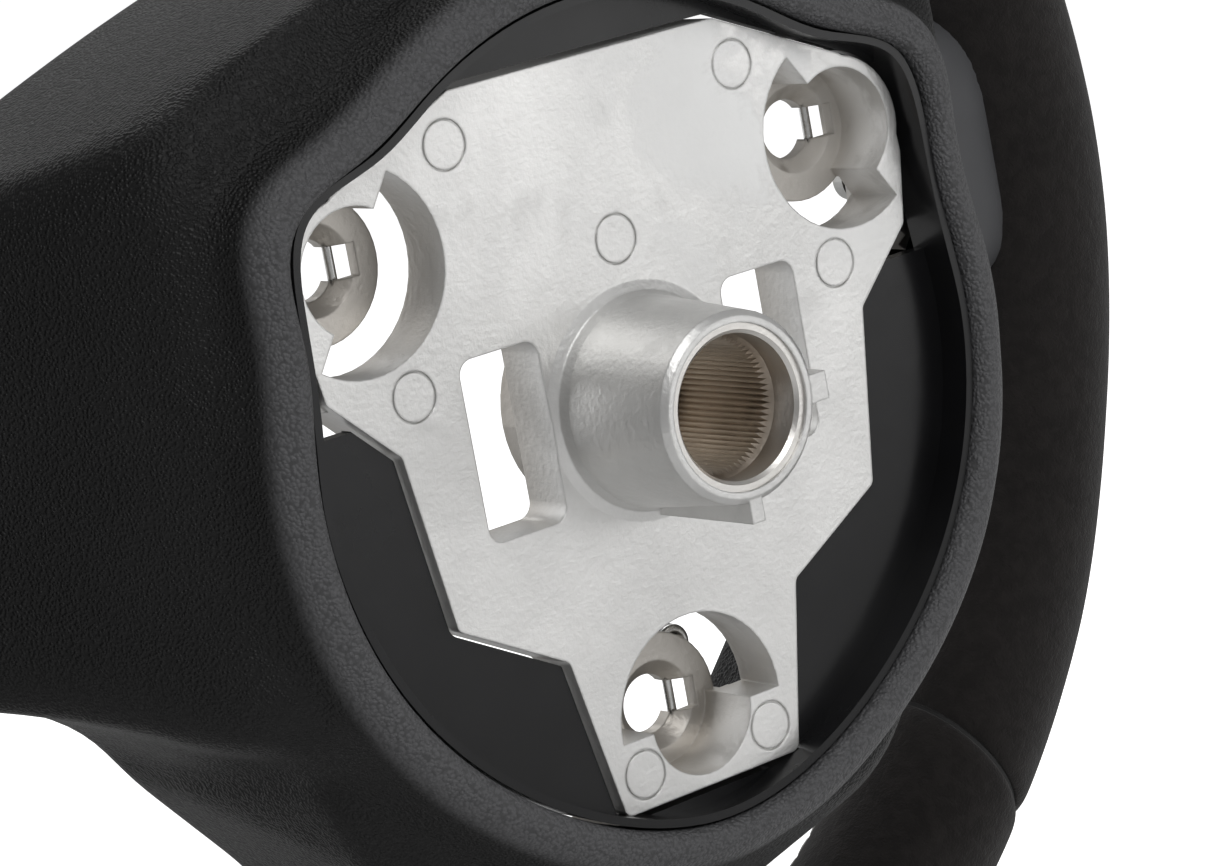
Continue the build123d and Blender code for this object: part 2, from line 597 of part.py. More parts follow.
with BuildPart() as trim_screws:
    for x, z in TRIM_SCREWS.values():
        add(rod(x, z, TRIM_SCREW_R, TRIM_SCREW_TIP, TRIM_HEAD_SEAT + 0.5))
        add(rod(x, z, TRIM_HEAD_R, TRIM_HEAD_SEAT + 0.05, TRIM_HEAD_SEAT + 2.2))
        with BuildSketch(Plane.XZ.offset(TRIM_HEAD_SEAT + 0.9)):
            with Locations((x, z)):
                RegularPolygon(1.5, 6)
        extrude(amount=3, mode=Mode.SUBTRACT)
trim_screws.part.label = "trim_screws"
export_step(trim_screws.part, "parts/trim_screws.step")
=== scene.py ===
import math
import random

import bmesh
import bpy
from mathutils import Matrix, Vector, noise


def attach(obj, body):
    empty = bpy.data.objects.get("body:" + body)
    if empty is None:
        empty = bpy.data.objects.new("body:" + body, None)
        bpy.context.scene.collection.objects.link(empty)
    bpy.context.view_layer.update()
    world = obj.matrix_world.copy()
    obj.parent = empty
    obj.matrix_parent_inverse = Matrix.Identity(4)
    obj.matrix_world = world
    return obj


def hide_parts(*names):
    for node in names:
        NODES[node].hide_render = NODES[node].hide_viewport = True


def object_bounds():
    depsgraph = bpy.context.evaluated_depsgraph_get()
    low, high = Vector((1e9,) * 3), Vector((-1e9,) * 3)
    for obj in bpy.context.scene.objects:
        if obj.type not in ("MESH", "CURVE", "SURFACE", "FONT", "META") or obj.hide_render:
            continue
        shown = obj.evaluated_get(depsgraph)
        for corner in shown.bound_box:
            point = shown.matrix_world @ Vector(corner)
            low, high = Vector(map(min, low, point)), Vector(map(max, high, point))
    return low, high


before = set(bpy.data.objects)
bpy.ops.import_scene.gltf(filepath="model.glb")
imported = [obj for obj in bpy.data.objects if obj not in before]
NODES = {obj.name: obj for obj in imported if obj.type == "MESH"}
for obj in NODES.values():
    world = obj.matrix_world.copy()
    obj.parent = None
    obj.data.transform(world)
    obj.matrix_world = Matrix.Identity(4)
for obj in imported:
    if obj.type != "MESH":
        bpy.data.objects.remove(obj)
CAD_LOW, CAD_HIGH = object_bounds()

bl_info = {
    "name": "Sports steering wheel",
    "version": (1, 0, 0),
    "blender": (4, 5, 0),
    "location": "View3D > Sidebar > Wheel",
    "description": "Bare three-spoke steering wheel with suede grip, leather-grained shell and cast hub",
    "category": "Add Mesh",
}

MM = 0.001

# ---------------------------------------------------------------- shell of the hub and spokes
# opening: a circle with soft corners at the upper left and right, and longer at the bottom
OPENING_R = 67.0
CORNER_RISE, CORNER_ANGLE, CORNER_WIDTH = 8.9, 34.0, 11.0
BOTTOM_RISE, BOTTOM_WIDTH = 3.0, 24.0
# outer edge of the right half: angle, x, z, y of the front edge
SHELL_EDGE = [
    (90, 0, 83, -64), (80, 14, 82, -64), (70, 27, 79.5, -64), (58, 48, 73, -64), (48, 66, 66.5, -64),
    (40, 82, 60, -65), (32, 98, 54, -71), (24, 118, 45, -83), (17, 134, 38, -91), (13, 150, 34, -96),
    (7, 153, 20, -82), (2, 153, 8, -80), (-3, 153, -6, -82), (-8, 151, -19, -96), (-14, 134, -21, -91),
    (-20, 118, -23, -83), (-27, 97, -28, -71), (-34, 80, -37, -64), (-42, 70, -50, -64), (-50, 60, -62, -64),
    (-58, 51, -73, -65), (-66, 42, -88, -69), (-73, 35, -106, -77), (-78, 31, -122, -85), (-81, 28, -140,
                                                                                           -94),
    (-84, 26, -152, -96), (-87, 13, -153, -82), (-90, 0, -153, -80),
]
# lip in section: growth beyond the opening, y
LIP = [(3.3, 7.0), (4.4, 6.85), (5.5, 6.3), (6.6, 5.3), (7.6, 3.8), (8.4, 2.0), (9.4, -1.5)]
# flank below the lip: share of the way to the edge, share of the depth
FLANK = [(0.0, 0.0), (0.2, 0.10), (0.4, 0.27), (0.65, 0.55), (0.85, 0.82), (1.0, 1.0)]
FLANK_REACH = 18.0
# rear face of a side spoke: distance from the column axis, y
SIDE_REAR = [(50, -2.5), (72, -2.5), (78, -4.5), (86, -16), (96, -32.5), (107, -48.5), (118, -61), (126, -67),
             (134, -71.5), (153, -77.5)]
SIDE_TOP = [(50, 72), (77, 62), (96, 55), (118, 45), (134, 38), (153, 33)]
SIDE_BOTTOM = [(50, -45), (80, -37), (97, -28), (118, -23), (134, -21), (153, -19)]
# rear face and half width of the lower spoke, by distance below the column axis
LOWER_REAR = [(50, -7), (74, -7), (80, -11), (88, -22), (96, -34), (107, -50), (118, -62), (134, -71.5),
              (153, -77.5)]
LOWER_HALF = [(50, 66), (62, 60), (73, 51), (88, 42), (106, 35), (122, 31), (140, 28), (153, 26)]
SPOKE_ROUND = 12.0
BLEND = 5.0
COLUMNS_PER_STEP = 3
PROFILE_ROWS = 26
SIDE_PARTING = 118.0
LOWER_PARTING = -116.0
PARTING_GAP = 0.1
TRIM_WALL = 2.2
TRIM_FRONT_Y = -90.5       # the trims' rear halves end here
CUT_EDGE_CREASE = 0.8      # keeps the edges of a walled sheet crisp when it is smoothed

# ---------------------------------------------------------------- rim
RIM_R = 164.0
RIM_Y = -88.0
GRIP_R = 17.6
# cover panels: start and end angle on the inner side, skew of each seam towards the outer side
PANELS = {
    "top": (30.0, 150.0, 3.0, -3.0),
    "left": (150.0, 220.0, -3.0, 4.0),
    "bottom": (220.0, 320.0, 4.0, -4.0),
    "right": (320.0, 390.0, -4.0, 3.0),
}
# the grip narrows below each side spoke and swells above it: degrees from the spoke, and half width
DIP_AT, DIP_WIDTH = 16, 12
THUMB_AT, THUMB_WIDTH = -22, 11
SEAM_TURN = 38             # degrees that the sewn seam leaves the inner side by, below the spokes
SEAM_WIDTH = 3.2
SEAM_DEPTH = 0.75
SECTION_STEPS = 44         # points round the grip's section
PANEL_STEP = 1.6           # degrees of rim from one section to the next
PANEL_GAP = 0.12           # degrees from a cover's end to its seam
THREAD_R = 0.42
STROKE = 5.6               # length of one slanting stroke of a cross stitch
STROKE_LEAN = 40           # degrees
# sewn runs: start and end angle, and the section angle of the seam (180 is the inner side)
STITCH_RUNS = [(16.0, 164.0, 180.0), (196.0, 258.0, 218.0), (282.0, 344.0, 218.0)]

# ---------------------------------------------------------------- camera: places in metres, lens in mm
CAMERA_PLACE = (0.42507, 0.57337, 0.13981)
CAMERA_RIGHT = (-0.77479, 0.60688, -0.17721)
CAMERA_BACK = (0.57604, 0.79315, 0.19771)
CAMERA_LENS = 133.9


def table_value(table, x):
    """Value between the table's rows, held constant past its ends."""
    if x <= table[0][0]:
        return table[0][1]
    for (x0, y0), (x1, y1) in zip(table, table[1:]):
        if x <= x1:
            return y0 + (y1 - y0) * (x - x0) / (x1 - x0)
    return table[-1][1]


def smooth_max(a, b, reach):
    """Larger of the two, with a fillet where they cross."""
    h = max(reach - abs(a - b), 0.0) / reach
    return max(a, b) + h * h * reach / 4


def opening_radius(angle):
    """Radius of the shell's opening at an angle from +X towards +Z, in degrees."""
    from_top = abs((angle + 90) % 360 - 180)
    corner = (from_top - 90 + CORNER_ANGLE) / CORNER_WIDTH
    bottom = (180 - from_top) / BOTTOM_WIDTH
    return OPENING_R + CORNER_RISE * math.exp(-corner ** 2) + BOTTOM_RISE * math.exp(-bottom ** 2)


def rounded_side(depth):
    """How far the surface has turned down at a depth inside the spoke's side."""
    if depth >= SPOKE_ROUND:
        return 0.0
    if depth <= 0:
        return SPOKE_ROUND - 7 * depth
    return SPOKE_ROUND - math.sqrt(SPOKE_ROUND ** 2 - (SPOKE_ROUND - depth) ** 2)


def shell_height(x, z, flank_end, front):
    """y of the shell's rear surface over a point of its right half."""
    growth = math.hypot(x, z) - opening_radius(math.degrees(math.atan2(z, x)))
    if growth <= LIP[-1][0]:
        hub = table_value(LIP, growth)
    else:
        share = (growth - LIP[-1][0]) / (flank_end - LIP[-1][0])
        hub = LIP[-1][1] + (front - LIP[-1][1]) * (table_value(FLANK, share) + 2 * max(share - 1, 0))
    side_depth = min(table_value(SIDE_TOP, x) - z, z - table_value(SIDE_BOTTOM, x))
    side = table_value(SIDE_REAR, x) - rounded_side(side_depth)
    lower = table_value(LOWER_REAR, -z) - rounded_side(table_value(LOWER_HALF, -z) - x)
    return smooth_max(smooth_max(hub, side, BLEND), lower, BLEND)


def resampled(points, count):
    """Points at equal steps along a line of (distance, height) points."""
    lengths = [0.0]
    for a, b in zip(points, points[1:]):
        lengths.append(lengths[-1] + math.hypot(b[0] - a[0], b[1] - a[1]))
    result = []
    k = 0
    for i in range(count):
        target = lengths[-1] * i / (count - 1)
        while k < len(points) - 2 and lengths[k + 1] < target:
            k += 1
        t = (target - lengths[k]) / max(lengths[k + 1] - lengths[k], 1e-9)
        a, b = points[k], points[k + 1]
        result.append((a[0] + (b[0] - a[0]) * t, a[1] + (b[1] - a[1]) * t))
    return result


def edge_rows():
    """The shell's edge table with smooth steps between its rows."""
    rows = []
    last = len(SHELL_EDGE) - 1
    for k in range(last):
        p0, p1, p2, p3 = (SHELL_EDGE[min(max(k + d, 0), last)] for d in (-1, 0, 1, 2))
        for step in range(COLUMNS_PER_STEP):
            t = step / COLUMNS_PER_STEP
            rows.append([
                0.5 * (2 * b + (c - a) * t + (2 * a - 5 * b + 4 * c - d) * t * t
                       + (3 * b - a - 3 * c + d) * t ** 3)
                for a, b, c, d in zip(p0, p1, p2, p3)
            ])
    rows.append(list(SHELL_EDGE[last]))
    return rows


def shell_column(angle, edge_x, edge_z, front):
    """Points down one section of the shell, from inside the opening over the lip to the front edge."""
    r0 = opening_radius(angle)
    out = Vector((math.cos(math.radians(angle)), math.sin(math.radians(angle))))
    wall = [(r0 + 0.05, -2.0), (r0 + 0.05, 4.2), (r0 + 0.5, 5.9), (r0 + 1.7, 6.8)]
    points = [(out.x * r, y, out.y * r) for r, y in wall]
    crest = out * (r0 + LIP[0][0])
    edge = Vector((edge_x, edge_z))
    reach = min(edge.length - r0, FLANK_REACH)
    length = (edge - crest).length
    along = (edge - crest) / length
    line = []
    for i in range(121):
        s = length * i / 120
        p = crest + along * s
        line.append((s, max(shell_height(p.x, p.y, reach, front), front)))
    if line[-1][1] > front + 1:
        line.append((length, front))
    for s, y in resampled(line, PROFILE_ROWS):
        p = crest + along * s
        points.append((p.x, y, p.y))
    return points


# ---------------------------------------------------------------- tools for every piece
def only(obj):
    """Selects one object and nothing else."""
    bpy.ops.object.select_all(action="DESELECT")
    obj.select_set(True)
    bpy.context.view_layer.objects.active = obj


def edit(obj):
    """Goes into edit mode on one object with all of it selected."""
    only(obj)
    bpy.ops.object.mode_set(mode="EDIT")
    bpy.ops.mesh.select_all(action="SELECT")


def leave():
    bpy.ops.object.mode_set(mode="OBJECT")


def lofted(name, columns, closed):
    """Sheet through columns of points in millimetres; closed joins the last column to the first."""
    count = len(columns) + (1 if closed else 0)
    rows = len(columns[0])
    bpy.ops.object.select_all(action="DESELECT")
    bpy.ops.mesh.primitive_grid_add(x_subdivisions=count - 1, y_subdivisions=rows - 1, size=2)
    obj = bpy.context.active_object
    obj.name = obj.data.name = name
    for v in obj.data.vertices:
        i = round((v.co.x + 1) / 2 * (count - 1))
        j = round((v.co.y + 1) / 2 * (rows - 1))
        v.co = Vector(columns[i % len(columns)][j]) * MM
    while obj.data.uv_layers:
        obj.data.uv_layers.remove(obj.data.uv_layers[0])
    if closed:
        edit(obj)
        bpy.ops.mesh.remove_doubles(threshold=1e-6)
        leave()
    return obj


def face_outwards(obj, outwards):
    """Turns the faces so that most of them agree with outwards(centre)."""
    edit(obj)
    bpy.ops.mesh.normals_make_consistent(inside=False)
    leave()
    votes = sum(f.area * (1 if f.normal.dot(outwards(f.center)) > 0 else -1) for f in obj.data.polygons)
    if votes < 0:
        edit(obj)
        bpy.ops.mesh.flip_normals()
        leave()


def cut_back(obj, place, normal, keep_along):
    """Cuts the piece with a plane and keeps the side that the normal points to, or the other one."""
    edit(obj)
    bpy.ops.mesh.bisect(plane_co=Vector(place) * MM, plane_no=normal, use_fill=False,
                        clear_inner=keep_along, clear_outer=not keep_along)
    leave()


def apply_modifier(obj, kind, **settings):
    only(obj)
    modifier = obj.modifiers.new(kind.title(), kind)
    for key, value in settings.items():
        setattr(modifier, key, value)
    bpy.ops.object.modifier_apply(modifier=modifier.name)


def walled(obj, thickness):
    """Gives a sheet its wall, inwards."""
    apply_modifier(obj, "SOLIDIFY", thickness=thickness * MM, offset=-1.0, use_rim=True,
                   edge_crease_outer=CUT_EDGE_CREASE, edge_crease_inner=CUT_EDGE_CREASE)


def smoothed(obj, levels):
    apply_modifier(obj, "SUBSURF", levels=levels, render_levels=levels)
    only(obj)
    bpy.ops.object.shade_smooth()


def finished(obj, material, replaced):
    """Paints a piece, puts it on the wheel and lets it stand for its CAD nodes."""
    obj.data.materials.clear()
    obj.data.materials.append(material)
    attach(obj, "wheel")
    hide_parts(*replaced)


def painted(node, material):
    """Gives a carried-over node a better finish."""
    obj = NODES[node]
    for material_slot in obj.material_slots:
        material_slot.material = material


# ---------------------------------------------------------------- shader nodes
def node(tree, kind, sockets=None, **settings):
    """Adds a shader node, sets its settings, and sets or links its input sockets."""
    made = tree.nodes.new(kind)
    for key, value in settings.items():
        setattr(made, key, value)
    for key, value in (sockets or {}).items():
        if isinstance(value, bpy.types.NodeSocket):
            tree.links.new(value, made.inputs[key])
        else:
            made.inputs[key].default_value = value
    return made


def new_group(name, inputs, outputs):
    """Empty node group with named float or vector inputs and outputs."""
    tree = bpy.data.node_groups.new(name, "ShaderNodeTree")
    for label, kind, value in inputs:
        socket = tree.interface.new_socket(name=label, in_out="INPUT", socket_type="NodeSocket" + kind)
        if value is not None:
            socket.default_value = value
    for label in outputs:
        tree.interface.new_socket(name=label, in_out="OUTPUT", socket_type="NodeSocketFloat")
    return tree, tree.nodes.new("NodeGroupInput"), tree.nodes.new("NodeGroupOutput")


def grain_group():
    """Moulded leather grain: rounded pebbles of uneven size, parted by fine creases."""
    tree, given, result = new_group(
        "Leather grain", [("Vector", "Vector", None), ("Scale", "Float", 900.0)], ["Height", "Crease"])
    wander = node(tree, "ShaderNodeTexNoise", {"Vector": given.outputs["Vector"], "Scale": 260.0,
                                               "Detail": 2.0})
    shift = node(tree, "ShaderNodeVectorMath", {0: wander.outputs["Color"], "Scale": 0.0011},
                 operation="SCALE")
    moved = node(tree, "ShaderNodeVectorMath", {0: given.outputs["Vector"], 1: shift.outputs[0]},
                 operation="ADD")
    cells = node(tree, "ShaderNodeTexVoronoi", {"Vector": moved.outputs[0], "Scale": given.outputs["Scale"],
                                                "Smoothness": 0.35}, feature="SMOOTH_F1")
    fine = node(tree, "ShaderNodeTexNoise", {"Vector": given.outputs["Vector"], "Scale": 2600.0,
                                             "Detail": 2.0})
    dome = node(tree, "ShaderNodeMapRange", {"Value": cells.outputs["Distance"], "From Min": 0.1,
                                             "From Max": 0.75,
                                             "To Min": 1.0, "To Max": 0.0}, interpolation_type="SMOOTHSTEP")
    both = node(tree, "ShaderNodeMath", {0: fine.outputs["Fac"], 1: 0.22, 2: dome.outputs["Result"]},
                operation="MULTIPLY_ADD")
    crease = node(tree, "ShaderNodeMapRange", {"Value": cells.outputs["Distance"], "From Min": 0.5,
                                               "From Max": 0.8}, interpolation_type="SMOOTHSTEP")
    tree.links.new(both.outputs[0], result.inputs["Height"])
    tree.links.new(crease.outputs["Result"], result.inputs["Crease"])
    return tree


def patch_group():
    """Soft-edged uneven patches."""
    tree, given, result = new_group(
        "Patches",
        [("Vector", "Vector", None), ("Scale", "Float", 20.0), ("Low", "Float", 0.45), ("High", "Float",
                                                                                        0.6)],
        ["Mask"])
    cloud = node(tree, "ShaderNodeTexNoise", {"Vector": given.outputs["Vector"],
                                              "Scale": given.outputs["Scale"],
                                              "Detail": 6.0, "Roughness": 0.62, "Distortion": 0.4})
    mask = node(tree, "ShaderNodeMapRange", {"Value": cloud.outputs["Fac"], "From Min": given.outputs["Low"],
                                             "From Max": given.outputs["High"]},
                                             interpolation_type="SMOOTHSTEP")
    tree.links.new(mask.outputs["Result"], result.inputs["Mask"])
    return tree


def material_start(name):
    """New material: its tree, its Principled shader and its object coordinates."""
    material = bpy.data.materials.new(name)
    material.use_nodes = True
    tree = material.node_tree
    shader = tree.nodes["Principled BSDF"]
    place = tree.nodes.new("ShaderNodeTexCoord").outputs["Object"]
    return material, tree, shader, place


def placed_group(tree, name, sockets):
    return node(tree, "ShaderNodeGroup", sockets, node_tree=bpy.data.node_groups[name])


def colour_mix(tree, factor, low, high):
    """Colour between two colours by a factor."""
    mixed = node(tree, "ShaderNodeMix", {0: factor, 6: (*low, 1.0), 7: (*high, 1.0)}, data_type="RGBA")
    return mixed.outputs[2]


def value_between(tree, factor, low, high):
    return node(tree, "ShaderNodeMapRange", {"Value": factor, "To Min": low,
                                             "To Max": high}).outputs["Result"]


def bumped(tree, shader, height, distance, strength=1.0):
    bump = node(tree, "ShaderNodeBump", {"Height": height, "Distance": distance, "Strength": strength})
    tree.links.new(bump.outputs["Normal"], shader.inputs["Normal"])


def leather_shell(colour):
    """Black leather-grained moulding; the grain is coarser on the lip, and the lip's much lighter colour is a
    painted highlight, paler on the pebble tops and darker in the creases.
    """
    material, tree, shader, place = material_start("black leather grain")
    parts = node(tree, "ShaderNodeSeparateXYZ", {"Vector": place})
    on_lip = node(tree, "ShaderNodeMapRange", {"Value": parts.outputs["Y"], "From Min": 0.0015,
                                               "From Max": 0.0055}, interpolation_type="SMOOTHSTEP")
    coarse = placed_group(tree, "Leather grain", {"Vector": place, "Scale": 1500.0})
    finer = placed_group(tree, "Leather grain", {"Vector": place, "Scale": 1700.0})
    deeper = node(tree, "ShaderNodeMath", {0: coarse.outputs["Height"], 1: 1.3}, operation="MULTIPLY")
    height = node(tree, "ShaderNodeMix", {0: on_lip.outputs["Result"], 2: finer.outputs["Height"],
                                          3: deeper.outputs[0]}, data_type="FLOAT")
    haze = placed_group(tree, "Patches", {"Vector": place, "Scale": 34.0, "Low": 0.35, "High": 0.7})
    base = colour_mix(tree, haze.outputs["Mask"], colour, [c * 1.5 for c in colour])
    # painted highlight on the lip: far lighter than the rest of the shell, paler on the pebble tops and
    # darker in the creases
    painted_lip_highlight = colour_mix(tree, coarse.outputs["Crease"], (0.1, 0.1, 0.104), (0.06, 0.06, 0.062))
    lit = node(tree, "ShaderNodeMix", {0: on_lip.outputs["Result"], 6: base, 7: painted_lip_highlight}, data_type="RGBA")
    tree.links.new(lit.outputs[2], shader.inputs["Base Color"])
    tree.links.new(value_between(tree, finer.outputs["Crease"], 0.46, 0.62), shader.inputs["Roughness"])
    bumped(tree, shader, height.outputs[0], 0.0002)
    shader.inputs["Specular IOR Level"].default_value = 0.3
    return material


def liner_plastic():
    """Smooth black tray with faint moulding haze."""
    material, tree, shader, place = material_start("smooth black plastic")
    haze = placed_group(tree, "Patches", {"Vector": place, "Scale": 26.0, "Low": 0.3, "High": 0.75})
    tree.links.new(colour_mix(tree, haze.outputs["Mask"], (0.006, 0.006, 0.0065), (0.010, 0.010, 0.011)),
                   shader.inputs["Base Color"])
    tree.links.new(value_between(tree, haze.outputs["Mask"], 0.2, 0.3), shader.inputs["Roughness"])
    ripple = node(tree, "ShaderNodeTexNoise", {"Vector": place, "Scale": 70.0, "Detail": 2.0})
    bumped(tree, shader, ripple.outputs["Fac"], 0.0004, 0.35)
    shader.inputs["Specular IOR Level"].default_value = 0.35
    return material


def cast_alloy(colour):
    """As-cast light alloy: mottled, matte, whiter rough patches and faint flow marks."""
    material, tree, shader, place = material_start("cast light alloy")
    patches = placed_group(tree, "Patches", {"Vector": place, "Scale": 38.0, "Low": 0.46, "High": 0.56})
    broad = placed_group(tree, "Patches", {"Vector": place, "Scale": 13.0, "Low": 0.3, "High": 0.72})
    stains = placed_group(tree, "Patches", {"Vector": place, "Scale": 75.0, "Low": 0.55, "High": 0.7})
    parts = node(tree, "ShaderNodeSeparateXYZ", {"Vector": place})
    deep = node(tree, "ShaderNodeMapRange", {"Value": parts.outputs["Y"], "From Min": -0.001,
                                             "From Max": -0.013})
    grey = colour_mix(tree, broad.outputs["Mask"], [c * 0.76 for c in colour], colour)
    # the chalky patches gather at the top of the plate, on its -X side
    upper = node(tree, "ShaderNodeMapRange", {"Value": parts.outputs["X"], "From Min": 0.012,
                                              "From Max": -0.03})
    high = node(tree, "ShaderNodeMapRange", {"Value": parts.outputs["Z"], "From Min": 0.002,
                                             "From Max": 0.035})
    corner = node(tree, "ShaderNodeMath", {0: upper.outputs["Result"], 1: high.outputs["Result"]},
                  operation="MULTIPLY")
    chalk = node(tree, "ShaderNodeMath", {0: patches.outputs["Mask"], 1: corner.outputs[0]},
                 operation="MULTIPLY")
    white = node(tree, "ShaderNodeMix", {0: chalk.outputs[0], 6: grey, 7: (0.98, 0.98, 0.97, 1)},
                 data_type="RGBA")
    # the colour turns darker and browner towards the front, from 1 mm to 13 mm in front of y = 0, up to 70 %
    # of the way to the brown
    darker_towards_front = node(tree, "ShaderNodeMath", {0: deep.outputs["Result"], 1: 0.7}, operation="MULTIPLY")
    browned_towards_front = node(tree, "ShaderNodeMix", {0: darker_towards_front.outputs[0], 6: white.outputs[2], 7: (0.40, 0.36, 0.31, 1)},
                  data_type="RGBA")
    tree.links.new(browned_towards_front.outputs[2], shader.inputs["Base Color"])
    rough = node(tree, "ShaderNodeMath", {0: chalk.outputs[0], 1: 0.25, 2: value_between(
        tree, stains.outputs["Mask"], 0.36, 0.46)}, operation="MULTIPLY_ADD")
    tree.links.new(rough.outputs[0], shader.inputs["Roughness"])
    tree.links.new(value_between(tree, chalk.outputs[0], 0.72, 0.2), shader.inputs["Metallic"])
    skin = node(tree, "ShaderNodeTexNoise", {"Vector": place, "Scale": 900.0, "Detail": 4.0,
                                             "Roughness": 0.6})
    flow = node(tree, "ShaderNodeTexNoise", {"Vector": place, "Scale": 110.0, "Detail": 3.0})
    relief = node(tree, "ShaderNodeMath", {0: flow.outputs["Fac"], 1: 1.4, 2: skin.outputs["Fac"]},
                  operation="MULTIPLY_ADD")
    soft_edges = node(tree, "ShaderNodeBevel", {"Radius": 0.0005}, samples=4)
    bump = node(tree, "ShaderNodeBump", {"Height": relief.outputs[0], "Distance": 0.00009,
                                         "Normal": soft_edges.outputs["Normal"]})
    tree.links.new(bump.outputs["Normal"], shader.inputs["Normal"])
    return material


def worn_steel(name, colour, roughness, tarnish=(0.25, 0.19, 0.13), spread=0.5):
    """Machined steel with tarnish and fine lay marks."""
    material, tree, shader, place = material_start(name)
    rust = placed_group(tree, "Patches", {"Vector": place, "Scale": 160.0, "Low": 0.75 - spread,
                                          "High": 0.95})
    tree.links.new(colour_mix(tree, rust.outputs["Mask"], colour, tarnish), shader.inputs["Base Color"])
    tree.links.new(value_between(tree, rust.outputs["Mask"], roughness, roughness + 0.2),
                   shader.inputs["Roughness"])
    shader.inputs["Metallic"].default_value = 1.0
    lay = node(tree, "ShaderNodeMapping", {"Vector": place, "Scale": (300.0, 4000.0, 300.0)})
    marks = node(tree, "ShaderNodeTexNoise", {"Vector": lay.outputs["Vector"], "Scale": 1.0, "Detail": 2.0})
    bumped(tree, shader, marks.outputs["Fac"], 0.00003)
    return material


def splined_steel():
    """Steel sleeve: bright turned mouth, and brown tarnish down among the serrations."""
    material, tree, shader, place = material_start("splined steel")
    parts = node(tree, "ShaderNodeSeparateXYZ", {"Vector": place})
    inside = node(tree, "ShaderNodeMapRange", {"Value": parts.outputs["Y"], "From Min": 0.0225,
                                               "From Max": 0.0165})
    flat = node(tree, "ShaderNodeCombineXYZ", {"X": parts.outputs["X"], "Y": parts.outputs["Z"]})
    radius = node(tree, "ShaderNodeVectorMath", {0: flat.outputs[0]}, operation="LENGTH")
    tips = node(tree, "ShaderNodeMapRange", {"Value": radius.outputs["Value"], "From Min": 0.0112,
                                             "From Max": 0.0106})
    patches = placed_group(tree, "Patches", {"Vector": place, "Scale": 120.0, "Low": 0.35, "High": 0.7})
    brown = node(tree, "ShaderNodeMix", {0: patches.outputs["Mask"], 6: (0.38, 0.31, 0.24, 1),
                                         7: (0.62, 0.53, 0.44, 1)}, data_type="RGBA")
    worn = node(tree, "ShaderNodeMix", {0: tips.outputs["Result"], 6: brown.outputs[2],
                                        7: (0.78, 0.71, 0.62, 1)}, data_type="RGBA")
    face = node(tree, "ShaderNodeMix", {0: inside.outputs["Result"], 6: (0.74, 0.72, 0.69, 1),
                                        7: worn.outputs[2]}, data_type="RGBA")
    tree.links.new(face.outputs[2], shader.inputs["Base Color"])
    tree.links.new(value_between(tree, patches.outputs["Mask"], 0.28, 0.42), shader.inputs["Roughness"])
    shader.inputs["Metallic"].default_value = 0.9
    marks = node(tree, "ShaderNodeTexNoise", {"Vector": place, "Scale": 1500.0, "Detail": 3.0})
    bumped(tree, shader, marks.outputs["Fac"], 0.00004)
    return material


def suede_cloth(colour):
    """Brushed suede: soft cloudy nap, short fibres, and a little sheen."""
    material, tree, shader, place = material_start("black suede")
    nap = placed_group(tree, "Patches", {"Vector": place, "Scale": 55.0, "Low": 0.3, "High": 0.72})
    brushed = placed_group(tree, "Patches", {"Vector": place, "Scale": 340.0, "Low": 0.35, "High": 0.7})
    both = node(tree, "ShaderNodeMath", {0: nap.outputs["Mask"], 1: 0.6, 2: brushed.outputs["Mask"]},
                operation="MULTIPLY_ADD")
    shade = node(tree, "ShaderNodeMath", {0: both.outputs[0], 1: 0.62}, operation="MULTIPLY")
    tree.links.new(colour_mix(tree, shade.outputs[0], colour, [c * 1.8 for c in colour]),
                   shader.inputs["Base Color"])
    shader.inputs["Roughness"].default_value = 0.95
    shader.inputs["Specular IOR Level"].default_value = 0.12
    shader.inputs["Sheen Weight"].default_value = 0.14
    shader.inputs["Sheen Roughness"].default_value = 0.55
    fibre = node(tree, "ShaderNodeTexNoise", {"Vector": place, "Scale": 2300.0, "Detail": 3.0})
    pile = node(tree, "ShaderNodeMath", {0: both.outputs[0], 1: 0.7, 2: fibre.outputs["Fac"]},
                operation="MULTIPLY_ADD")
    bumped(tree, shader, pile.outputs[0], 0.00016)
    return material


def satin_plastic(name, colour, roughness, grain=0.00004):
    """Satin moulding with a fine even texture."""
    material, tree, shader, place = material_start(name)
    haze = placed_group(tree, "Patches", {"Vector": place, "Scale": 45.0, "Low": 0.3, "High": 0.75})
    tree.links.new(colour_mix(tree, haze.outputs["Mask"], colour, [c * 1.18 for c in colour]),
                   shader.inputs["Base Color"])
    tree.links.new(value_between(tree, haze.outputs["Mask"], roughness, roughness + 0.08),
                   shader.inputs["Roughness"])
    fine = node(tree, "ShaderNodeTexNoise", {"Vector": place, "Scale": 1800.0, "Detail": 2.0})
    bumped(tree, shader, fine.outputs["Fac"], grain)
    return material


def thread_material():
    """Twisted pale thread."""
    material, tree, shader, place = material_start("pale thread")
    twist = node(tree, "ShaderNodeTexWave", {"Vector": place, "Scale": 900.0, "Distortion": 2.0},
                 bands_direction="DIAGONAL")
    tree.links.new(colour_mix(tree, twist.outputs["Fac"], (0.45, 0.44, 0.42), (0.72, 0.71, 0.68)),
                   shader.inputs["Base Color"])
    shader.inputs["Roughness"].default_value = 0.8
    bumped(tree, shader, twist.outputs["Fac"], 0.00008)
    return material


